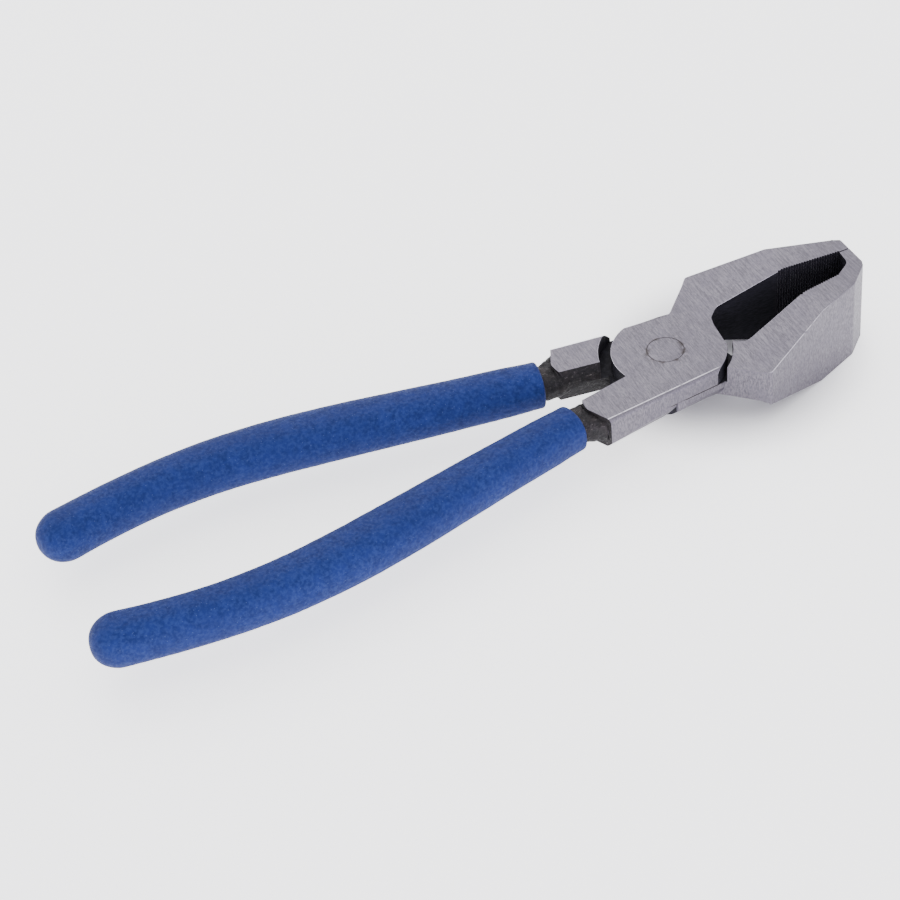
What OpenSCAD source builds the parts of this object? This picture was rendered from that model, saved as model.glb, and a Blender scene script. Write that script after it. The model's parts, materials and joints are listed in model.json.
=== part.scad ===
// Wide-nosed running pliers for glass: two forged levers lapped at the middle,
// one rivet through both, and a dipped grip on each handle.
// +X points to the jaw tips, +Z is up, and the jaws lie on Z = 0.

/* [Overall] */
// Length from the jaw tips to the ends of the grips
overall_length = 205; // [198:1:214]
// Distance from the rivet to the jaw tips
jaw_reach = 52.6; // [51:0.2:55]
// Thickness of the lapped joint
joint_thickness = 8.8; // [8:0.2:10]

/* [Jaws] */
// Width of the jaw faces, from one flat side to the other
jaw_width = 22; // [18:0.5:26]
// Where the flare from the joint to the full jaw width begins
flare_start = 15; // [14:0.5:16]
// Where the flare reaches the full jaw width
flare_end = 35; // [32:0.5:38]
// Distance of the jaw shoulders from the centre line
shoulder_reach = 20.6; // [19:0.2:22]
// Gap left between the lip and the other jaw when closed
bite_gap = 0.25; // [0.1:0.05:0.6]
// Spacing of the gripping teeth
tooth_pitch = 0.7; // [0.6:0.1:1.2]
// Depth of the gripping teeth
tooth_depth = 0.35; // [0.2:0.05:0.5]

/* [Joint] */
// Diameter of the rivet's flush heads
rivet_head_d = 8.94; // [8:0.02:10]
// Diameter of the rivet's shank
rivet_shank_d = 7.8; // [6:0.2:8]
// Radius of each lapped disc where it faces the other jaw
disc_jaw_r = 14.6; // [14.2:0.1:14.6]
// Radius of the upper disc where it faces the other handle
upper_disc_r = 13; // [12.4:0.1:13.4]
// Radius of the lower disc where it faces the other handle
lower_disc_r = 13.8; // [13:0.1:14]
// Radius of the curved shoulders that the discs turn inside
shoulder_r = 16; // [15.6:0.1:16.4]
// Radius of the shoulder on the block of the flat jaw's lever
close_shoulder_r = 14.8; // [14.7:0.1:15.2]

/* [Handles] */
// Greatest distance of the handles' middles from the centre line
handle_bow = 22.2; // [20:0.1:26]
// Plan width of a grip at its fullest
grip_w = 13.5; // [13:0.1:16]
// Height of a grip at its fullest
grip_h = 11.8; // [11.4:0.1:13]
// Width of a grip at its mouth
mouth_w = 10.7; // [10.4:0.1:11.2]

/* [Hidden] */

half_joint = joint_thickness / 2;
half_jaw = jaw_width / 2;
// Each lever stops this far short of the plane where the two lap.
lap_clearance = 0.05;
running_clearance = 0.05;
grip_clearance = 0.03;
rivet_head_depth = 1.2;
past = 1;
reach = 90;

// The tips and grip ends lie the same distance from X = 0.
pivot_x = overall_length / 2 - jaw_reach;
grip_end_x = jaw_reach - overall_length + 0.13;

// Sides of the joint in plan: distance from the centre line at X = 0, and slope towards the handles.
// The side below a lever's own handle is fuller at its half of the lap than past it.
mid_side = [13.5, 0.085];
own_side = [12.6, 0.0865];
block_side = [10.65, 0.148];
other_side = [11.65, 0.1];
// Inner side of a handle's block, a forged flank with a parting ridge at mid-height
flank_side = [-1.45, -0.17];
// How the sides round from a flat face towards mid-height: [outward, share of the half thickness]
tight_round = [[0, 1], [0.4, 0.95], [0.7, 0.86], [0.95, 0.7], [5, 0.69]];
slack_round = [[0, 1], [0.75, 0.84], [1.5, 0.6], [2.1, 0.35], [2.5, 0.15], [5, 0.1]];
ridge = [[0, 1], [0.9, 0.02]];
square_edge = [[0, 1]];
free_edge = [[5, 1]];

bite_y = 3.2;
lip_front_x = jaw_reach - 2.8;
shoulder_x = 16.8;
neck = [7.2, 11.1];
waist = [34.5, 13.8];
arc_steps = 6;
ring_points = 20;

function lerp(a, b, t) = a + (b - a) * t;
function unit(v) = v / norm(v);
function flatten(lists) = [for (l = lists) each l];

// A corner [x, y, r] becomes an arc of radius r that touches both of its sides.
function corner(a, p, b) =
    p[2] == 0 ? [[p[0], p[1]]] :
    let (c = [p[0], p[1]],
         u = unit([a[0], a[1]] - c),
         v = unit([b[0], b[1]] - c),
         half = acos(u * v) / 2,
         centre = c + unit(u + v) * p[2] / sin(half),
         start = c + u * p[2] / tan(half) - centre,
         turn = (u[0] * v[1] - u[1] * v[0] > 0 ? -1 : 1) * (180 - 2 * half))
    [for (i = [0 : arc_steps])
        let (w = turn * i / arc_steps)
        centre + [start[0] * cos(w) - start[1] * sin(w), start[0] * sin(w) + start[1] * cos(w)]];

function rounded(pts) =
    let (n = len(pts))
    flatten([for (i = [0 : n - 1]) corner(pts[(i + n - 1) % n], pts[i], pts[(i + 1) % n])]);

// V teeth along the line from a to b, cut to the left of it
function teeth(a, b) =
    let (n = round(norm(b - a) / tooth_pitch),
         step = (b - a) / n,
         inward = unit([-step[1], step[0]]) * tooth_depth)
    [for (i = [0 : n - 1]) each [concat(a + step * i, 0), concat(a + step * (i + 0.5) - inward, 0)]];

// Jaw outlines in plan, as corners with a radius, from the neck round the outside to the tip
// and back along the bite. Both are drawn on the +Y side.
neck_and_shoulder = [[-4, 0, 0], [-4, 9, 0], [neck[0] - 4, 11.3, 0], concat(neck, 2),
                     [shoulder_x, shoulder_reach, 0.9], concat(waist, 0)];

flat_jaw_outline = rounded(concat(
    neck_and_shoulder,
    [[jaw_reach - 1.8, 8.1, 3], [jaw_reach, 7.1, 0.6]],
    [[jaw_reach, bite_y + bite_gap / 2, 0]],
    teeth([lip_front_x + 0.2, bite_y + bite_gap / 2], [33.6, 4.8]),
    [[33.6, 4.8, 0], [17.6, 6.6, 1.6], [15.1, 4.7, 1], [13.9, 0.4, 0], [13, 0, 0]]));

lipped_jaw_outline = rounded(concat(
    neck_and_shoulder,
    [[46.5, 9.05, 3], [jaw_reach - 0.6, 4.0, 1.2], [jaw_reach, 2.6, 0.5]],
    [[jaw_reach, bite_gap / 2 - bite_y, 0], [lip_front_x, bite_gap / 2 - bite_y, 0]],
    [[lip_front_x - 0.4, 1.2, 2.6]],
    teeth([45.3, 3.9], [33.8, 5.4]),
    [[33.8, 5.4, 0], [17.6, 8.1, 2], [14.8, 5.3, 0], [13.6, 1, 0], [13, 0, 0]]));

// The disc is ground straight where it closes the throat of the bite.
throat_limit = [[0, -20], [11.6, -20], [16.6, 20], [0, 20]];
// Fills a lever's own half out to the side of the joint, as far as the neck of its jaw
neck_web = [8.6, 15];

// Plan outline of the block that carries a handle, on the -Y side, at mid-height
block_outline = rounded([
    [0, 8, 0],
    [-8, 4, 0],
    [-13.2, -2.5, 1.5],
    [-25.4, -5.2, 1.6],
    [-25.9, -9, 3],
    [-22.6, -16, 0],
    [0, -16, 0]]);

// Middle line of a handle, on the -Y side, as a cubic curve from the grip's mouth to its end
bow = handle_bow / 22.2;
handle_curve = [[-29.2, -8.75], [-91.5, -19.8 * bow], [-103.8, -28.2 * bow], [grip_end_x, -17.2]];
function on_curve(t) =
    handle_curve[0] * pow(1 - t, 3) + handle_curve[1] * 3 * pow(1 - t, 2) * t
    + handle_curve[2] * 3 * (1 - t) * pow(t, 2) + handle_curve[3] * pow(t, 3);
function along_curve(t) =
    unit((handle_curve[1] - handle_curve[0]) * pow(1 - t, 2)
         + (handle_curve[2] - handle_curve[1]) * 2 * (1 - t) * t
         + (handle_curve[3] - handle_curve[2]) * pow(t, 2));

// A rounded section, half width a and half height b, standing across the handle at t
function bulged(v) = sign(v) * pow(abs(v), 0.86);
function section(t, a, b, shift = 0) =
    let (p = on_curve(t) + along_curve(t) * shift,
         side = [along_curve(t)[1], -along_curve(t)[0]])
    [for (i = [0 : ring_points - 1])
        let (w = 360 * i / ring_points, across = a * bulged(cos(w)))
        [p[0] + side[0] * across, p[1] + side[1] * across, b * bulged(sin(w))]];

module loft(rings) {
    n = ring_points;
    last = len(rings) - 1;
    sides = [for (r = [0 : last - 1]) for (i = [0 : n - 1])
        [r * n + i, r * n + (i + 1) % n, (r + 1) * n + (i + 1) % n, (r + 1) * n + i]];
    first_cap = [[for (i = [0 : n - 1]) n - 1 - i]];
    last_cap = [[for (i = [0 : n - 1]) last * n + i]];
    polyhedron(points = flatten(rings), faces = concat(sides, first_cap, last_cap));
}

// The tang inside a grip, tapering from its root to its end
tang_root = [4.1, 3.8];
tang_tip = [3.2, 2.8];
tang_end = 0.955;
tang_steps = 12;
tang_lead = 4;
shank_spare = 0.1;
function tang_half(t) = lerp(tang_root, tang_tip, t);
function tang_section(t, spare, shift = 0) =
    section(t, tang_half(t)[0] + spare, tang_half(t)[1] + spare, shift);

// Half sizes of a grip's outside: from the mouth it fills out, and is fullest where the palm bears.
grip_steps = 14;
dome_length = 7;
dome_steps = 5;
dome_t = dome_length / (3 * norm(handle_curve[3] - handle_curve[2]));
grip_neck_w = 11.2;
grip_tail_w = 12.6;
tail_start = 0.7;
function grip_half(t) =
    let (palm = pow(sin(180 * pow(t, 0.75)), 2),
         tail = pow(max(0, t - tail_start) / (1 - tail_start), 2),
         w = lerp(lerp(grip_neck_w, grip_w, palm), grip_tail_w, tail),
         h = lerp(grip_neck_w, grip_h, min(1, 3 * t)))
    [w / 2, h / 2];

module grip_shell() {
    inside = [for (i = [tang_steps : -1 : 0])
        tang_section(tang_end * i / tang_steps + (i == tang_steps ? 0.001 : 0), grip_clearance)];
    mouth = [section(0, mouth_w / 2 - 0.35, mouth_w / 2 - 0.35),
             section(0, mouth_w / 2, mouth_w / 2, 0.4),
             section(0, mouth_w / 2 + 0.3, mouth_w / 2 + 0.3, 1.6)];
    outside = [for (i = [0 : grip_steps])
        let (t = lerp(0.03, 1 - dome_t, i / grip_steps))
        section(t, grip_half(t)[0], grip_half(t)[1])];
    dome = [for (i = [1 : dome_steps])
        let (w = 86 * i / dome_steps, t = 1 - dome_t * (1 - sin(w)), s = pow(cos(w), 0.85))
        section(t, grip_half(1 - dome_t)[0] * s, grip_half(1 - dome_t)[1] * s)];
    loft(concat(inside, mouth, outside, dome));
}

module tang() {
    loft([for (i = [-1 : tang_steps])
        tang_section(max(0, tang_end * i / tang_steps), 0, i < 0 ? -tang_lead : 0)]);
}

// The forged neck that narrows from the block to the tang
module shank() {
    hull() {
        linear_extrude(height = joint_thickness - 0.8, center = true)
            polygon([[-20, -6.2], [-20, -13.2], [-22.6, -13.3], [-25.2, -9.4], [-25.2, -7.2]]);
        linear_extrude(height = 1, center = true)
            polygon([[-20, -4.7], [-20, -14.6], [-23.4, -14.6], [-25.9, -9.4], [-25.5, -5.6]]);
        loft([tang_section(0, shank_spare, -1.5), tang_section(0, shank_spare, -1)]);
    }
}

// Everything inside one side of the joint, which runs at [y, slope] on the +Y side.
// above rounds the side at the upper face and below at the lower face.
module inside_side(side, above, below) {
    profile = concat([for (p = above) [p[0], p[1] * half_joint]],
                     [for (i = [len(below) - 1 : -1 : 0]) [below[i][0], -below[i][1] * half_joint]]);
    translate([0, side[0], 0])
        rotate([90, 0, 90 - atan(side[1])])
            linear_extrude(height = 2 * reach, center = true)
                polygon(concat(profile, [[-reach, -half_joint], [-reach, half_joint]]));
}

// Everything of a lever that lies within the joint's thickness: the lapped disc above the lap,
// and the full block that carries the handle, whose lower shoulder clears the other disc
module joint_body(disc_handle_r, block_shoulder_r) {
    intersection() {
        union() {
            translate([0, 0, lap_clearance])
                linear_extrude(height = half_joint - lap_clearance) {
                    intersection() {
                        circle(r = disc_jaw_r, $fn = 128);
                        polygon(throat_limit);
                    }
                    square(neck_web);
                    intersection() {
                        circle(r = disc_handle_r, $fn = 128);
                        translate([-reach, -reach]) square([reach, 2 * reach]);
                    }
                }
            difference() {
                intersection() {
                    linear_extrude(height = joint_thickness, center = true)
                        polygon(block_outline);
                    inside_side(flank_side, ridge, ridge);
                }
                translate([0, 0, -reach])
                    cylinder(h = reach + lap_clearance, r = block_shoulder_r, $fn = 128);
            }
        }
        mirror([0, 1, 0]) intersection() {
            inside_side(mid_side, square_edge, square_edge);
            inside_side(own_side, tight_round, free_edge);
            inside_side(block_side, free_edge, slack_round);
        }
        inside_side(mid_side, square_edge, square_edge);
        inside_side(other_side, slack_round, free_edge);
        // The corner where the disc leaves the far side is eased.
        linear_extrude(height = joint_thickness, center = true)
            polygon([[reach, -reach], [reach, reach], [-2.8, reach], [-4.2, 12.7], [-6.1, 11.8],
                     [-9, 9.6], [-reach, 9.6], [-reach, -reach]]);
    }
}

module jaw(outline) {
    difference() {
        intersection() {
            linear_extrude(height = jaw_width, center = true)
                polygon(outline);
            rotate([90, 0, 0])
                linear_extrude(height = 2 * reach, center = true)
                    polygon([[-reach, -half_joint], [flare_start, -half_joint], [flare_end, -half_jaw],
                             [reach, -half_jaw], [reach, half_jaw], [flare_end, half_jaw],
                             [flare_start, half_joint], [-reach, half_joint]]);
        }
        translate([0, 0, -reach])
            cylinder(h = reach + lap_clearance, r = shoulder_r, $fn = 128);
    }
}

// The rivet: a plain shank with a flush tapered head at each end
module rivet_shape(spare) {
    head_r = rivet_head_d / 2 + spare;
    shank_r = rivet_shank_d / 2 + spare;
    cylinder(h = joint_thickness + 2 * past, r = shank_r, center = true, $fn = 96);
    for (side = [0, 1])
        mirror([0, 0, side]) {
            translate([0, 0, half_joint - rivet_head_depth])
                cylinder(h = rivet_head_depth, r1 = shank_r, r2 = head_r, $fn = 96);
            translate([0, 0, half_joint])
                cylinder(h = past, r = head_r, $fn = 96);
        }
}

// A lever drawn with its jaw at +Y, its half of the lap above Z = 0 and its handle at -Y
module lever(outline, disc_handle_r, block_shoulder_r, spare) {
    difference() {
        union() {
            jaw(outline);
            joint_body(disc_handle_r, block_shoulder_r);
            shank();
            tang();
        }
        rivet_shape(spare);
    }
}

module in_place() {
    translate([pivot_x, 0, half_jaw]) children();
}

module flat_jaw_lever() {
    color("#a7a2ab")
        in_place()
            lever(flat_jaw_outline, upper_disc_r, close_shoulder_r, 0);
}

module lipped_jaw_lever() {
    color("#99949e")
        in_place()
            rotate([180, 0, 0])
                lever(lipped_jaw_outline, lower_disc_r, shoulder_r, running_clearance);
}

module pivot_rivet() {
    color("#b3aeb4")
        in_place()
            intersection() {
                rivet_shape(0);
                cylinder(h = joint_thickness, r = rivet_head_d, center = true, $fn = 96);
            }
}

module flat_jaw_lever_grip() {
    color("#2d55a0") in_place() grip_shell();
}

module lipped_jaw_lever_grip() {
    color("#2d55a0") in_place() rotate([180, 0, 0]) grip_shell();
}

flat_jaw_lever();
lipped_jaw_lever();
pivot_rivet();
flat_jaw_lever_grip();
lipped_jaw_lever_grip();
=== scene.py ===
import json
import math

import bmesh
import bpy
from mathutils import Matrix, Vector, noise

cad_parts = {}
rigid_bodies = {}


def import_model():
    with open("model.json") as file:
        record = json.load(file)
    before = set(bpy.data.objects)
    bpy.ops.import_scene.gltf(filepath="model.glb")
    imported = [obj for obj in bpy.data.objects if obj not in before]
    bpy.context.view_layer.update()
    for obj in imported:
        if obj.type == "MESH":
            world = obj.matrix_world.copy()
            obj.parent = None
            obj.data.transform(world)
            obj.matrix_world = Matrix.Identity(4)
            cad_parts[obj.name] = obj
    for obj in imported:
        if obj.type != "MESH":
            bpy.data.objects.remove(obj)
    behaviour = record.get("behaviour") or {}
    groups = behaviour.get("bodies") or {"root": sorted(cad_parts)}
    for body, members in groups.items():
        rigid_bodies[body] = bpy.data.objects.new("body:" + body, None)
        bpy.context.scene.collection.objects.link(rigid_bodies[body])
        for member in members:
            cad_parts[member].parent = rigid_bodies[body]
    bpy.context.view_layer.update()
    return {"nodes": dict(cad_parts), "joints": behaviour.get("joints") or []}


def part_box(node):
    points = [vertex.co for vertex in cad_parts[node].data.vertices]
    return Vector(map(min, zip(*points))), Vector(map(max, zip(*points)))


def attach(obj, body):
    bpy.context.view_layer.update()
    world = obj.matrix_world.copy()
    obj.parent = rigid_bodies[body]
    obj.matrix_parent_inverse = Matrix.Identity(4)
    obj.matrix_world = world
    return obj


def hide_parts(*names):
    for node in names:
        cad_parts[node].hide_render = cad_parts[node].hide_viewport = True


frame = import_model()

MM = 0.001
PIVOT = Vector(frame["joints"][0]["pos_m"])
ROOT = frame["joints"][0]["parent"]
MOVING = frame["joints"][0]["child"]

# Half the thickness of the joint and the radius of the rivet's heads, in millimetres
HALF_JOINT = 4.4
RIVET_HEAD_R = 4.47

# Which way round each lever lies: the lipped one is the other turned over about X.
LEVERS = {
    "flat_jaw_lever": (ROOT, 1),
    "lipped_jaw_lever": (MOVING, -1),
}


# ---------------------------------------------------------------- materials

class Nodes:
    """A material's node tree, with one short call for each kind of node."""

    def __init__(self, name):
        self.material = bpy.data.materials.new(name)
        self.material.use_nodes = True
        self.tree = self.material.node_tree
        self.tree.nodes.clear()
        self.shader = self.add("ShaderNodeBsdfPrincipled")
        output = self.add("ShaderNodeOutputMaterial")
        self.link(self.shader.outputs[0], output.inputs["Surface"])

    def add(self, kind, **settings):
        node = self.tree.nodes.new(kind)
        for key, value in settings.items():
            setattr(node, key, value)
        return node

    def link(self, source, target):
        if isinstance(source, (int, float, tuple)):
            target.default_value = source
        else:
            self.tree.links.new(source, target)

    def place(self):
        """Where a point is in the part's own frame, in metres"""
        return self.add("ShaderNodeTexCoord").outputs["Object"]

    def scaled(self, vector, scale, move=(0, 0, 0)):
        node = self.add("ShaderNodeMapping")
        node.inputs["Scale"].default_value = scale
        node.inputs["Location"].default_value = move
        self.link(vector, node.inputs["Vector"])
        return node.outputs[0]

    def noise(self, vector, scale, detail=3, rough=0.55):
        node = self.add("ShaderNodeTexNoise")
        node.inputs["Scale"].default_value = scale
        node.inputs["Detail"].default_value = detail
        node.inputs["Roughness"].default_value = rough
        self.link(vector, node.inputs["Vector"])
        return node.outputs["Fac"]

    def cells(self, vector, scale):
        node = self.add("ShaderNodeTexVoronoi", feature="F1")
        node.inputs["Scale"].default_value = scale
        self.link(vector, node.inputs["Vector"])
        return node.outputs["Distance"]

    def maths(self, operation, a, b=0.0, c=0.0, clamp=False):
        node = self.add("ShaderNodeMath", operation=operation, use_clamp=clamp)
        self.link(a, node.inputs[0])
        self.link(b, node.inputs[1])
        if operation in ("MULTIPLY_ADD", "SMOOTH_MIN", "COMPARE"):
            self.link(c, node.inputs[2])
        return node.outputs[0]

    def span(self, value, low, high, to_low=0.0, to_high=1.0):
        """Maps low..high to to_low..to_high, smoothly, and holds the ends"""
        node = self.add("ShaderNodeMapRange", interpolation_type="SMOOTHSTEP")
        self.link(value, node.inputs["Value"])
        limits = {"From Min": low, "From Max": high, "To Min": to_low, "To Max": to_high}
        for key, number in limits.items():
            node.inputs[key].default_value = number
        return node.outputs["Result"]

    def mix(self, factor, a, b):
        """One colour going over to another as factor goes from 0 to 1"""
        node = self.add("ShaderNodeMix", data_type="RGBA")
        self.link(factor, node.inputs["Factor"])
        for value, target in ((a, node.inputs["A"]), (b, node.inputs["B"])):
            self.link((*value, 1.0) if isinstance(value, tuple) else value, target)
        return node.outputs["Result"]

    def bump(self, height, distance, strength=1.0, under=None):
        node = self.add("ShaderNodeBump")
        node.inputs["Strength"].default_value = strength
        node.inputs["Distance"].default_value = distance
        self.link(height, node.inputs["Height"])
        if under is not None:
            self.link(under, node.inputs["Normal"])
        return node.outputs["Normal"]

    def finish(self, **inputs):
        names = {"color": "Base Color", "metallic": "Metallic", "roughness": "Roughness",
                 "normal": "Normal", "sheen": "Sheen Weight", "sheen_roughness": "Sheen Roughness",
                 "specular": "Specular IOR Level"}
        for key, value in inputs.items():
            target = self.shader.inputs[names[key]]
            self.link((*value, 1.0) if isinstance(value, tuple) else value, target)
        return self.material


def belt_lines(n, place):
    """Fine scratches from a grinding belt, across the tool on its flat faces and upright on its sides"""
    long = n.noise(n.scaled(place, (2600, 210, 900)), 1.0, 3, 0.7)
    short = n.noise(n.scaled(place, (4300, 900, 900)), 1.0, 4, 0.7)
    across = n.maths("MULTIPLY_ADD", long, 0.5, n.maths("MULTIPLY", short, 0.5))
    upright = n.noise(n.scaled(place, (3200, 3200, 1000)), 1.0, 4, 0.7)
    normal = n.add("ShaderNodeNewGeometry").outputs["True Normal"]
    split = n.add("ShaderNodeSeparateXYZ")
    n.link(normal, split.inputs[0])
    flat = n.span(n.maths("ABSOLUTE", split.outputs["Z"]), 0.55, 0.75)
    return n.maths("ADD", n.maths("MULTIPLY", across, flat),
                   n.maths("MULTIPLY", upright, n.maths("SUBTRACT", 1.0, flat)))


def ground_steel(name, ring_radius):
    """Belt-ground tool steel, light grey with a faint violet cast"""
    n = Nodes(name)
    place = n.place()
    lines = belt_lines(n, place)
    clouds = n.noise(place, 170, 3, 0.6)
    specks = n.noise(place, 2100, 3, 0.7)
    tone = n.span(lines, 0.36, 0.64)
    color = n.mix(tone, STEEL_LOW, STEEL_HIGH)
    color = n.mix(n.span(clouds, 0.35, 0.7, 0.0, 0.4), color, STEEL_CLOUD)
    color = n.mix(n.span(specks, 0.5, 0.7, 0.0, 0.5), color, STEEL_SPECK)
    color = joint_stains(n, place, color, ring_radius)
    rough = n.span(lines, 0.3, 0.7, 0.56, 0.4)
    normal = n.bump(lines, 0.00005, 0.6)
    return n.finish(color=color, metallic=0.85, roughness=rough, normal=normal)


def joint_stains(n, place, color, radius):
    """Dark grime along the rivet's edge and along the lap"""
    out = n.add("ShaderNodeVectorMath", operation="SUBTRACT")
    n.link(place, out.inputs[0])
    out.inputs[1].default_value = PIVOT
    flat = n.scaled(out.outputs[0], (1, 1, 0))
    away = n.add("ShaderNodeVectorMath", operation="LENGTH")
    n.link(flat, away.inputs[0])
    color = ring_stain(n, flat, away.outputs["Value"], color, radius)
    return lap_stain(n, out.outputs[0], away.outputs["Value"], color)


def ring_stain(n, flat, away, color, radius):
    """A line on the rivet's edge, thicker in places, with smears beside it"""
    off_ring = n.maths("ABSOLUTE", n.maths("SUBTRACT", away, radius))
    patchy = n.noise(flat, 420, 2)
    width = n.span(patchy, 0.35, 0.66, 0.00015, 0.00062)
    line = n.maths("SUBTRACT", 1.0, n.maths("DIVIDE", off_ring, width), clamp=True)
    smear = n.maths("MULTIPLY", n.span(off_ring, 0.0, 0.0018, 1.0, 0.0), n.span(patchy, 0.46, 0.62))
    color = n.mix(n.maths("MULTIPLY", smear, 0.6), color, STAIN)
    return n.mix(n.maths("MULTIPLY", line, 0.85), color, STAIN)


def lap_stain(n, out, away, color):
    """A line at mid-height round the joint, where the two levers lap"""
    height = n.add("ShaderNodeSeparateXYZ")
    n.link(out, height.inputs[0])
    on_lap = n.span(n.maths("ABSOLUTE", height.outputs["Z"]), 0.00008, 0.00026, 0.85, 0.0)
    on_joint = n.span(away, 0.0152, 0.0158, 1.0, 0.0)
    return n.mix(n.maths("MULTIPLY", on_lap, on_joint), color, STAIN)


def painted_edge_highlight():
    """The thin line on a broken edge, with a painted highlight: bright where the rounding faces up on the
    joint's and flare's edges, dull elsewhere
    """
    n = Nodes("painted_edge_highlight")
    highlight_breakup = n.noise(n.place(), 900, 3, 0.6)
    facing = n.add("ShaderNodeSeparateXYZ")
    n.link(n.add("ShaderNodeNewGeometry").outputs["True Normal"], facing.inputs[0])
    upward = n.span(facing.outputs["Z"], 0.1, 0.5)
    along = n.add("ShaderNodeSeparateXYZ")
    n.link(n.place(), along.inputs[0])
    joint_ends, flare_starts, flare_ends = [[PIVOT.x + x * MM for x in ends] for ends in HIGHLIGHT_ENDS]
    on_joint = n.span(along.outputs["X"], *joint_ends, 1.0, 0.0)
    on_flare = n.maths("MULTIPLY", n.span(along.outputs["X"], *flare_starts),
                       n.span(along.outputs["X"], *flare_ends, 0.8, LEAST_HIGHLIGHT))
    where = n.maths("ADD", on_joint, n.maths("MAXIMUM", on_flare, LEAST_HIGHLIGHT), clamp=True)
    # The painted highlight, broken up by noise, on upward-facing rounding along the joint and the flare
    bright = n.maths("MULTIPLY", n.maths("MULTIPLY", n.span(highlight_breakup, 0.2, 0.55), upward), where)
    color = n.mix(bright, STEEL_CLOUD, EDGE_HIGHLIGHT)
    return n.finish(color=color, metallic=0.9, roughness=0.36)


def forged_black():
    """Black oxide left from forging and hardening, with brown patches and pits, a few painted glints, and
    painted shade on faces turned down
    """
    n = Nodes("forged_black")
    place = n.place()
    scale = n.noise(place, 900, 5, 0.65)
    patches = n.noise(place, 260, 3, 0.6)
    glints = n.noise(n.scaled(place, (700, 1700, 1700)), 1.0, 4, 0.75)
    color = n.mix(n.span(patches, 0.42, 0.66), OXIDE, OXIDE_BROWN)
    color = n.mix(n.span(scale, 0.52, 0.68, 0.0, 0.75), color, OXIDE_GREY)
    # Painted glints: bright specks of reflection painted into the colour
    color = n.mix(n.span(glints, 0.6, 0.74, 0.0, 0.6), color, OXIDE_GLINT)
    # Painted shade: faces turned down are made darker, towards plain oxide
    facing = n.add("ShaderNodeSeparateXYZ")
    n.link(n.add("ShaderNodeNewGeometry").outputs["True Normal"], facing.inputs[0])
    color = n.mix(n.span(facing.outputs["Z"], -0.12, 0.15, 0.75, 0.0), color, OXIDE)
    rough = n.span(glints, 0.45, 0.7, 0.62, 0.35)
    normal = n.bump(scale, 0.0005, 0.9)
    normal = n.bump(n.noise(place, 3200, 3), 0.00004, 0.6, normal)
    return n.finish(color=color, metallic=0.3, roughness=rough, normal=normal, specular=0.35)


def machined_black():
    """The dark inside faces of the bite and of the joint"""
    n = Nodes("machined_black")
    place = n.place()
    lines = n.noise(n.scaled(place, (700, 700, 4200)), 1.0, 3, 0.6)
    color = n.mix(n.span(lines, 0.35, 0.7), INSIDE_LOW, INSIDE_HIGH)
    rough = n.span(lines, 0.3, 0.7, 0.62, 0.5)
    return n.finish(color=color, roughness=rough, normal=n.bump(lines, 0.00003, 0.5), specular=0.08)


def dipped_vinyl():
    """Matte blue dipped plastic with a fine pebbled grain, and pale specks that are painted highlights on
    the pebbles
    """
    n = Nodes("dipped_vinyl")
    place = n.place()
    grain = n.noise(place, 1250, 4, 0.62)
    mottle = n.noise(place, 420, 3, 0.6)
    broad = n.noise(place, 60, 2, 0.5)
    specks = n.cells(place, 900)
    color = n.mix(n.span(mottle, 0.3, 0.7), VINYL_LOW, VINYL_HIGH)
    color = n.mix(n.span(grain, 0.38, 0.72, 0.0, 0.6), color, VINYL_PALE)
    color = n.mix(n.span(broad, 0.35, 0.7, 0.0, 0.3), color, VINYL_LOW)
    # Painted highlights: pale specks standing in for sparkle on the pebbles
    color = n.mix(n.span(specks, 0.05, 0.11, 0.5, 0.0), color, VINYL_SPECK_HIGHLIGHT)
    rough = n.span(grain, 0.3, 0.7, 0.72, 0.56)
    normal = n.bump(grain, 0.00016, 0.8)
    normal = n.bump(n.noise(place, 2600, 2), 0.00005, 0.6, normal)
    return n.finish(color=color, roughness=rough, normal=normal, sheen=0.03,
                    sheen_roughness=0.5, specular=0.12)


# Millimetres from the rivet towards the jaws over which the painted highlight on the joint's edges fades
# out, that on the flare's edges fades in, and that on the flare's edges fades out
HIGHLIGHT_ENDS = ((6, 8.5), (15.5, 18), (32, 40))
LEAST_HIGHLIGHT = 0.1

STEEL_LOW = (0.108, 0.099, 0.119)
STEEL_HIGH = (0.185, 0.172, 0.199)
STEEL_CLOUD = (0.126, 0.115, 0.145)
STEEL_SPECK = (0.095, 0.087, 0.108)
# The painted highlight on the edges' rounding
EDGE_HIGHLIGHT = (0.60, 0.57, 0.63)
STAIN = (0.045, 0.038, 0.036)
OXIDE = (0.007, 0.0062, 0.0075)
OXIDE_BROWN = (0.022, 0.017, 0.018)
OXIDE_GREY = (0.038, 0.032, 0.036)
OXIDE_GLINT = (0.30, 0.26, 0.26)
INSIDE_LOW = (0.0095, 0.0092, 0.0120)
INSIDE_HIGH = (0.0180, 0.0174, 0.0230)
VINYL_LOW = (0.0050, 0.0136, 0.086)
VINYL_HIGH = (0.0084, 0.0208, 0.124)
VINYL_PALE = (0.021, 0.044, 0.180)
VINYL_SPECK_HIGHLIGHT = (0.08, 0.13, 0.30)


# ---------------------------------------------------------------- levers

TOOTH_ZONES = {
    "flat_jaw_lever": ((33.2, 52.5), (2.6, 5.8)),
    "lipped_jaw_lever": ((33.4, 45.7), (3.2, 6.4)),
}
DISC_REACH = 16.6
BITE_LIMITS = (12.4, 50.6)
BLOCK_END_X = -22.0
# The block ends in two planes through one corner, and the neck stands on them.
NECK_CUT = (-25.95, -9.0)
NECK_CUTS = ((-1.0, 0.0), (-0.905, -0.426))
THROAT_CORNER = (15, 5.5)

# The finishes of a lever's faces, in the order of its materials; the last is the edge rounding with its
# painted highlight
GROUND, OXIDISED, BLACKENED, HIGHLIGHTED_EDGE = range(4)

# How far edges are rounded, in millimetres
OUTER_EDGE = 0.16
INNER_EDGE = 0.07
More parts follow.
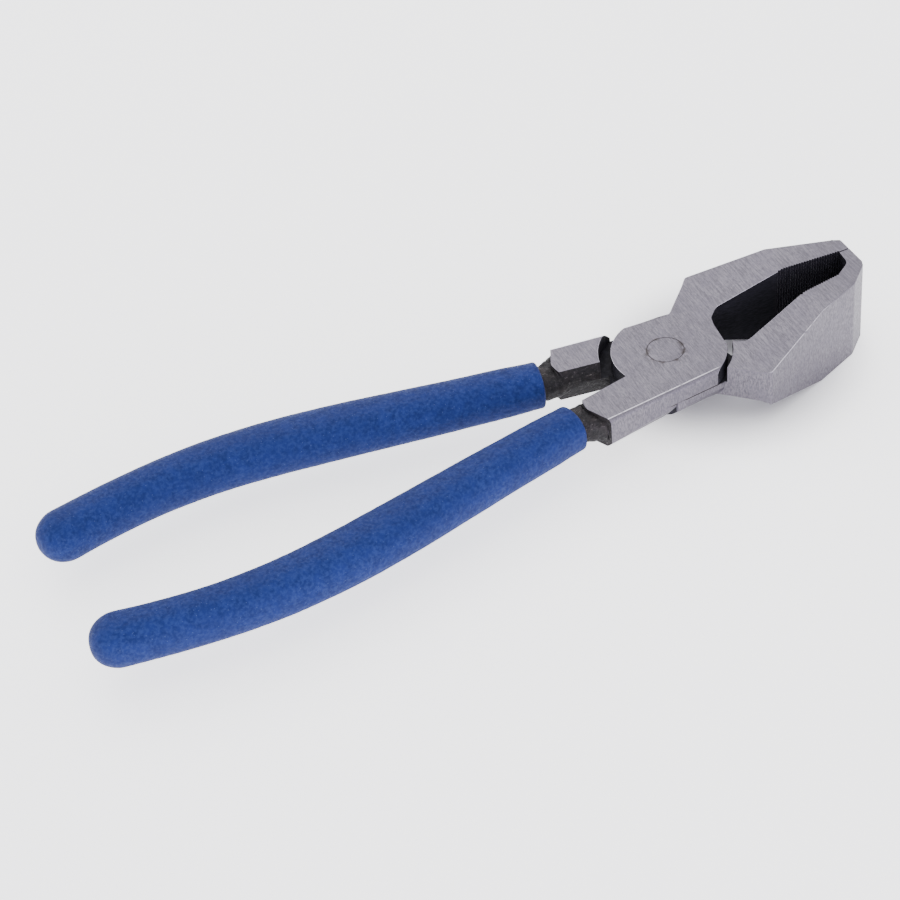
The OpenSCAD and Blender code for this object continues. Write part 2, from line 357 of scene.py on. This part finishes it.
# Edges shorter than this are slivers where two surfaces run out together.
SHORTEST = 0.105 * MM


def in_lever(name, point):
    """A point in a lever's own millimetres: from the rivet, with its jaw at +y and its lap half up"""
    side = LEVERS[name][1]
    p = (point - PIVOT) / MM
    return Vector((p.x, p.y * side, p.z * side))


def in_place(name, point):
    """The same point back in the part's frame, in metres"""
    side = LEVERS[name][1]
    return PIVOT + Vector((point[0], point[1] * side, point[2] * side)) * MM


def is_tooth(name, p):
    (x0, x1), (y0, y1) = TOOTH_ZONES[name]
    return x0 < p.x < x1 and y0 < p.y < y1 and abs(p.z) < 11.2


def is_side(p, normal):
    """True on the long outer sides of the joint"""
    return abs(normal.y) > 0.93 and abs(p.y) > 9.5


def finish_of(name, face):
    """Which finish a face of a lever has"""
    p = in_lever(name, face.calc_center_median())
    side = LEVERS[name][1]
    normal = Vector((face.normal.x, face.normal.y * side, face.normal.z * side))
    if p.x < BLOCK_END_X and not on_patch(p, normal):
        return OXIDISED
    if p.x < -9 and normal.y > 0.5 and p.y > -8:
        return OXIDISED
    if abs(normal.z) > 0.4:
        return BLACKENED if abs(p.z) < 1 else GROUND
    return BLACKENED if in_gap(p, normal) or in_bite(p, normal) else GROUND


def on_patch(p, normal):
    """True on the ground top, bottom and outer side of the block that carries a handle"""
    flat = abs(normal.z) > 0.98 and abs(p.z) > HALF_JOINT - 0.05
    return flat or normal.y < -0.6 and normal.x > -0.3


def in_gap(p, normal):
    """True on the round walls where a disc of one lever turns inside the shoulders of the other"""
    away = math.hypot(p.x, p.y)
    outward = normal.x * p.x + normal.y * p.y
    if p.z > 0:
        facing_gap = p.y < 0.6 if p.x > 0 else p.y > -5
    else:
        facing_gap = p.x * p.y > 0
    return away < DISC_REACH and abs(outward) > 0.93 * away and facing_gap and not is_side(p, normal)


def in_bite(p, normal):
    outer = normal.y > 0.2 or p.x > 20 and normal.x > 0.3
    return BITE_LIMITS[0] < p.x < BITE_LIMITS[1] and p.y < 9 and not outer


def rounding_of(name, edge):
    """How far an edge of a lever is rounded, in millimetres"""
    if len(edge.link_faces) != 2:
        return 0
    angle = math.degrees(edge.calc_face_angle())
    p = in_lever(name, (edge.verts[0].co + edge.verts[1].co) / 2)
    if not 27 < angle < 125 or is_tooth(name, p) or (p.xy - Vector(THROAT_CORNER)).length < 1.3:
        return 0
    if any(face.material_index == OXIDISED for face in edge.link_faces) or edge.calc_length() < SHORTEST:
        return 0
    if math.hypot(p.x, p.y) < RIVET_HEAD_R + 0.2 or abs(p.z) < 0.2:
        return 0
    if any(face.material_index == BLACKENED for face in edge.link_faces):
        return INNER_EDGE
    return OUTER_EDGE


def is_sharp(name, edge, rounding):
    """True where the shading breaks: unrounded corners, flare creases and the flank's parting ridge"""
    if len(edge.link_faces) != 2 or rounding > 0:
        return False
    angle = math.degrees(edge.calc_face_angle())
    p = in_lever(name, (edge.verts[0].co + edge.verts[1].co) / 2)
    forged = all(face.material_index == OXIDISED for face in edge.link_faces)
    on_flare = p.x > 14.5 and abs(p.z) > HALF_JOINT - 0.1
    return angle > 32 or angle > 12 and (forged or on_flare)


def clean_copy(name):
    """The lever's CAD mesh without its tang and without the edges that cut its flat faces up"""
    bm = bmesh.new()
    bm.from_mesh(frame["nodes"][name].data)
    bmesh.ops.remove_doubles(bm, verts=bm.verts, dist=0.002 * MM)
    for away in NECK_CUTS:
        everything = list(bm.verts) + list(bm.edges) + list(bm.faces)
        way = in_place(name, (*away, 0)) - PIVOT
        cut = bmesh.ops.bisect_plane(bm, geom=everything, plane_co=in_place(name, (*NECK_CUT, 0)),
                                     plane_no=way.normalized(), clear_outer=True)
        rim = [part for part in cut["geom_cut"] if isinstance(part, bmesh.types.BMEdge)]
        bmesh.ops.edgeloop_fill(bm, edges=rim)
    bmesh.ops.dissolve_limit(bm, angle_limit=math.radians(0.6), verts=bm.verts, edges=bm.edges)
    bm.normal_update()
    return bm


def piece_from(bm, name, materials):
    """Makes an object of this name from the shape in bm, and links it to the scene"""
    mesh = bpy.data.meshes.new(name)
    bm.to_mesh(mesh)
    bm.free()
    for material in materials:
        mesh.materials.append(material)
    piece = bpy.data.objects.new(name, mesh)
    bpy.context.scene.collection.objects.link(piece)
    return piece


def lever(name):
    body = LEVERS[name][0]
    bm = clean_copy(name)
    for face in bm.faces:
        face.material_index = finish_of(name, face)
    weights = bm.edges.layers.float.new("bevel_weight_edge")
    for edge in bm.edges:
        edge[weights] = rounding_of(name, edge)
    for face in bm.faces:
        face.smooth = True
    for edge in bm.edges:
        edge.smooth = not is_sharp(name, edge, edge[weights])
    add_neck(bm, name)
    piece = piece_from(bm, name + "_steel", (STEEL, FORGED, INSIDE, EDGE))
    rounding = piece.modifiers.new("rounding", "BEVEL")
    rounding.limit_method = "WEIGHT"
    rounding.width = MM
    rounding.segments = 3
    rounding.use_clamp_overlap = False
    # The rounded edges take the material with the painted highlight.
    rounding.material = HIGHLIGHTED_EDGE
    weighted = piece.modifiers.new("weighted", "WEIGHTED_NORMAL")
    weighted.keep_sharp = True
    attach(piece, body)
    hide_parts(name)


# ---------------------------------------------------------------- handles

RING_POINTS = 96

# Middle line of a handle in a lever's own millimetres, from the grip's mouth to its end
grip_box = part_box("flat_jaw_lever_grip")
CURVE = [Vector((-29.2, -8.75)), Vector((-91.5, -19.8)), Vector((-103.8, -28.2)),
         Vector(((grip_box[0][0] - PIVOT.x) / MM + 0.21, -17.2))]
TANG_END = 0.955
DOME = 7 / (3 * (CURVE[3] - CURVE[2]).length)


def lerp(a, b, t):
    return a + (b - a) * t


def on_curve(t):
    u = 1 - t
    return CURVE[0] * u ** 3 + CURVE[1] * 3 * u * u * t + CURVE[2] * 3 * u * t * t + CURVE[3] * t ** 3


def along_curve(t):
    u = 1 - t
    way = (CURVE[1] - CURVE[0]) * u * u + (CURVE[2] - CURVE[1]) * 2 * u * t + (CURVE[3] - CURVE[2]) * t * t
    return way.normalized()


def ring(centre, way, a, b, bulge=0.86):
    """A rounded section across the direction way, half width a and half height b"""
    points = []
    for i in range(RING_POINTS):
        w = 2 * math.pi * i / RING_POINTS
        c, s = math.cos(w), math.sin(w)
        across = a * math.copysign(abs(c) ** bulge, c)
        height = b * math.copysign(abs(s) ** bulge, s)
        points.append(Vector((centre.x + way.y * across, centre.y - way.x * across, height)))
    return points


def curve_ring(t, a, b, shift=0.0):
    return ring(on_curve(t) + along_curve(t) * shift, along_curve(t), a, b)


def skin(bm, rings, material_index=0):
    """Joins rings of points into a closed tube with flat ends"""
    rows = [[bm.verts.new(p) for p in points] for points in rings]
    faces = []
    for a, b in zip(rows, rows[1:]):
        for i in range(len(a)):
            j = (i + 1) % len(a)
            faces.append(bm.faces.new((a[i], a[j], b[j], b[i])))
    faces.append(bm.faces.new(reversed(rows[0])))
    faces.append(bm.faces.new(rows[-1]))
    for face in faces:
        face.smooth = True
        face.material_index = material_index


def tang_half(t):
    return lerp(4.1, 3.2, t), lerp(3.8, 2.8, t)


def roughened(points, size, depth):
    """Moves points in or out by up to about depth, in bumps of about size, as a forged surface is uneven"""
    moved = []
    centre = sum(points, Vector()) / len(points)
    for p in points:
        out = (p - centre).normalized()
        bumps = noise.fractal(p / size, 0.6, 2.0, 4)
        moved.append(p + out * bumps * depth)
    return moved


def add_neck(bm, name):
    """The forged neck, which leaves the ground block in a cove and runs on into the grip as the tang"""
    start = Vector((-22.6, -9.95))
    steps = 36
    rings = []
    for i in range(steps + 1):
        s = i / steps
        centre = start.lerp(CURVE[0], s) + Vector((0, 0.35 * math.sin(math.pi * s)))
        way = start.lerp(CURVE[0], 1) - start
        way = (way.normalized() * (1 - s) + along_curve(0) * s).normalized()
        narrowing = max(0, s - 0.35) / 0.65
        a = lerp(4.85, 4.1, narrowing * narrowing * (3 - 2 * narrowing))
        b = lerp(3.3, 3.8, s * s)
        rings.append(roughened(ring(centre, way, a, b, lerp(0.5, 0.86, s)), 1.6, 0.22))
    for i in range(1, 41):
        t = TANG_END * i / 40
        rings.append(curve_ring(t, *tang_half(t)))
    placed = [[in_place(name, p) for p in points] for points in rings]
    skin(bm, placed, OXIDISED)


# A grip's widths at its neck, where the palm bears and at its tail, and its full height
NECK_W, PALM_W, TAIL_W, FULL_H = 11.2, 13.5, 12.6, 11.8
TAIL_START = 0.7
# The coat clears the tang by this much. Its mouth has a rolled lip, and the body starts past it.
TANG_GAP = 0.03
MOUTH_HALF = 5.35
LIP = 0.75
BODY_HALF = 5.42
BODY_START = 0.012


def grip_half(t):
    palm = math.sin(math.pi * t ** 0.75) ** 2
    tail = (max(0, t - TAIL_START) / 0.3) ** 2
    w = lerp(lerp(NECK_W, PALM_W, palm), TAIL_W, tail)
    h = lerp(NECK_W, FULL_H, min(1, 3 * t))
    return w / 2, h / 2


def grip(name, lever_name):
    body = LEVERS[lever_name][0]
    rings = []
    inside_steps = 60
    for i in range(inside_steps, -1, -1):
        t = TANG_END * i / inside_steps
        a, b = tang_half(t)
        rings.append(curve_ring(t, a + TANG_GAP, b + TANG_GAP))
    # The lip: the coat ends square on the neck and is rolled over at its rim.
    for i in range(9):
        w = math.radians(90 * i / 8)
        half = MOUTH_HALF - LIP * (1 - math.sin(w))
        rings.append(curve_ring(0, half, half, LIP * (1 - math.cos(w))))
    steps = 230
    for i in range(steps + 1):
        t = lerp(BODY_START, 1 - DOME, i / steps)
        a, b = grip_half(t)
        fill = min(1, (t - BODY_START) / 0.03)
        rings.append(uneven(curve_ring(t, lerp(BODY_HALF, a, fill), lerp(BODY_HALF, b, fill))))
    # The rounded end
    for i in range(1, 25):
        w = math.radians(88 * i / 24)
        t = 1 - DOME * (1 - math.sin(w))
        a, b = grip_half(1 - DOME)
        shrink = math.cos(w) ** 0.85
        rings.append(uneven(curve_ring(t, a * shrink, b * shrink)))
    bm = bmesh.new()
    skin(bm, [[in_place(lever_name, p) for p in points] for points in rings])
    bmesh.ops.recalc_face_normals(bm, faces=bm.faces)
    piece = piece_from(bm, name + "_coat", (VINYL,))
    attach(piece, body)
    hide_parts(name)


def uneven(points):
    """The coat's own waviness and pebbling, always inwards from the full size"""
    centre = sum(points, Vector()) / len(points)
    moved = []
    for p in points:
        out = (p - centre).normalized()
        wave = noise.noise(p / 7) * 0.05
        pebbles = noise.fractal(p / 1.1, 0.7, 2.0, 3) * 0.035
        moved.append(p + out * min(0, wave + pebbles - 0.05))
    return moved


# ---------------------------------------------------------------- rivet

def rivet():
    """The rivet, turned about its axis, with both flush heads a little crowned and eased at the rim"""
    head, shank, depth, ease = RIVET_HEAD_R, 3.9, 1.2, 0.1
    taper = (head - shank) / depth
    profile = [(0.0, HALF_JOINT), (2.2, HALF_JOINT), (head - 2 * ease, HALF_JOINT - 0.01),
               (head - ease, HALF_JOINT - 0.03), (head - 0.07, HALF_JOINT - ease),
               (head - 2 * ease * taper, HALF_JOINT - 2 * ease), (shank, HALF_JOINT - depth)]
    profile += [(r, -z) for r, z in reversed(profile)]
    count = 128
    bm = bmesh.new()
    rows = []
    for r, z in profile[1:-1]:
        rows.append([bm.verts.new(PIVOT + Vector((r * math.cos(2 * math.pi * i / count),
                                                  r * math.sin(2 * math.pi * i / count), z)) * MM)
                     for i in range(count)])
    for a, b in zip(rows, rows[1:]):
        for i in range(count):
            j = (i + 1) % count
            bm.faces.new((a[i], b[i], b[j], a[j]))
    bm.faces.new(rows[0])
    bm.faces.new(reversed(rows[-1]))
    bmesh.ops.recalc_face_normals(bm, faces=bm.faces)
    for face in bm.faces:
        face.smooth = True
    piece = piece_from(bm, "pivot_rivet_steel", (STEEL,))
    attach(piece, ROOT)
    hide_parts("pivot_rivet")


# ---------------------------------------------------------------- stage

def camera():
    """A long lens from above and the near side, tilted a little about its own axis"""
    azimuth = math.radians(20.89)
    elevation = math.radians(42.60)
    roll = math.radians(-6.65)
    distance = 0.5756
    aim = PIVOT + Vector((-0.05343, 0.00990, -0.01066))
    right = Vector((math.cos(azimuth), -math.sin(azimuth), 0))
    away = Vector((math.sin(azimuth), math.cos(azimuth), 0))
    up = Vector((0, 0, 1))
    back = up * math.sin(elevation) - away * math.cos(elevation)
    top = away * math.sin(elevation) + up * math.cos(elevation)
    x = right * math.cos(roll) + top * math.sin(roll)
    y = top * math.cos(roll) - right * math.sin(roll)
    data = bpy.data.cameras.new("camera")
    data.lens = 96.68
    data.sensor_width = 36
    data.clip_start = 0.01
    viewer = bpy.data.objects.new("camera", data)
    bpy.context.scene.collection.objects.link(viewer)
    placed = Matrix((x, y, back)).transposed().to_4x4()
    placed.translation = aim + back * distance
    viewer.matrix_world = placed
    bpy.context.scene.camera = viewer


# The floor glows from within, painted light like a light table's, and the glow fades out round a spot under
# the jaws, a painted shadow.
FLOOR_GLOW = 1.5
UNLIT_SPOT = (PIVOT.x + 0.02, PIVOT.y + 0.004, 0)
UNLIT_REACH = (0.018, 0.038)


def floor():
    n = Nodes("pale_floor")
    place = n.place()
    color = n.mix(n.noise(place, 3, 2), (0.86, 0.86, 0.87), (0.9, 0.9, 0.905))
    material = n.finish(color=color, roughness=0.9)
    n.shader.inputs["Emission Color"].default_value = (1, 1, 1, 1)
    from_spot = n.add("ShaderNodeVectorMath", operation="DISTANCE")
    n.link(place, from_spot.inputs[0])
    from_spot.inputs[1].default_value = UNLIT_SPOT
    # Painted light from the floor itself, with a painted shadow under the jaws where the glow fades to
    # nothing
    glow = n.span(from_spot.outputs["Value"], *UNLIT_REACH, 0.0, FLOOR_GLOW)
    n.link(glow, n.shader.inputs["Emission Strength"])
    bm = bmesh.new()
    bmesh.ops.create_grid(bm, x_segments=1, y_segments=1, size=4)
    plane = piece_from(bm, "floor", (material,))
    plane.location.z = -0.1 * MM


def softbox(name, place, target, size, power, color=(1, 1, 1)):
    data = bpy.data.lights.new(name, "AREA")
    data.shape = "RECTANGLE"
    data.size, data.size_y = size
    data.energy = power
    data.color = color
    lamp = bpy.data.objects.new(name, data)
    lamp.location = place
    lamp.rotation_euler = (Vector(target) - Vector(place)).to_track_quat("-Z", "Y").to_euler()
    bpy.context.scene.collection.objects.link(lamp)


def lights():
    world = bpy.data.worlds.new("studio")
    world.use_nodes = True
    background = world.node_tree.nodes["Background"]
    background.inputs["Color"].default_value = (0.97, 0.97, 1.0, 1)
    background.inputs["Strength"].default_value = 1.85
    bpy.context.scene.world = world
    softbox("far", (0.12, 0.8, 0.8), (0, 0, 0), (0.9, 0.5), 4)
    softbox("near_low", (-0.1, -0.9, 0.22), (0.02, 0, 0), (1.3, 0.35), 5, (0.78, 0.70, 1.0))


STEEL = ground_steel("ground_steel", RIVET_HEAD_R * MM)
EDGE = painted_edge_highlight()
FORGED = forged_black()
INSIDE = machined_black()
VINYL = dipped_vinyl()

camera()
floor()
lights()
for lever_name in LEVERS:
    lever(lever_name)
rivet()
grip("flat_jaw_lever_grip", "flat_jaw_lever")
grip("lipped_jaw_lever_grip", "lipped_jaw_lever")
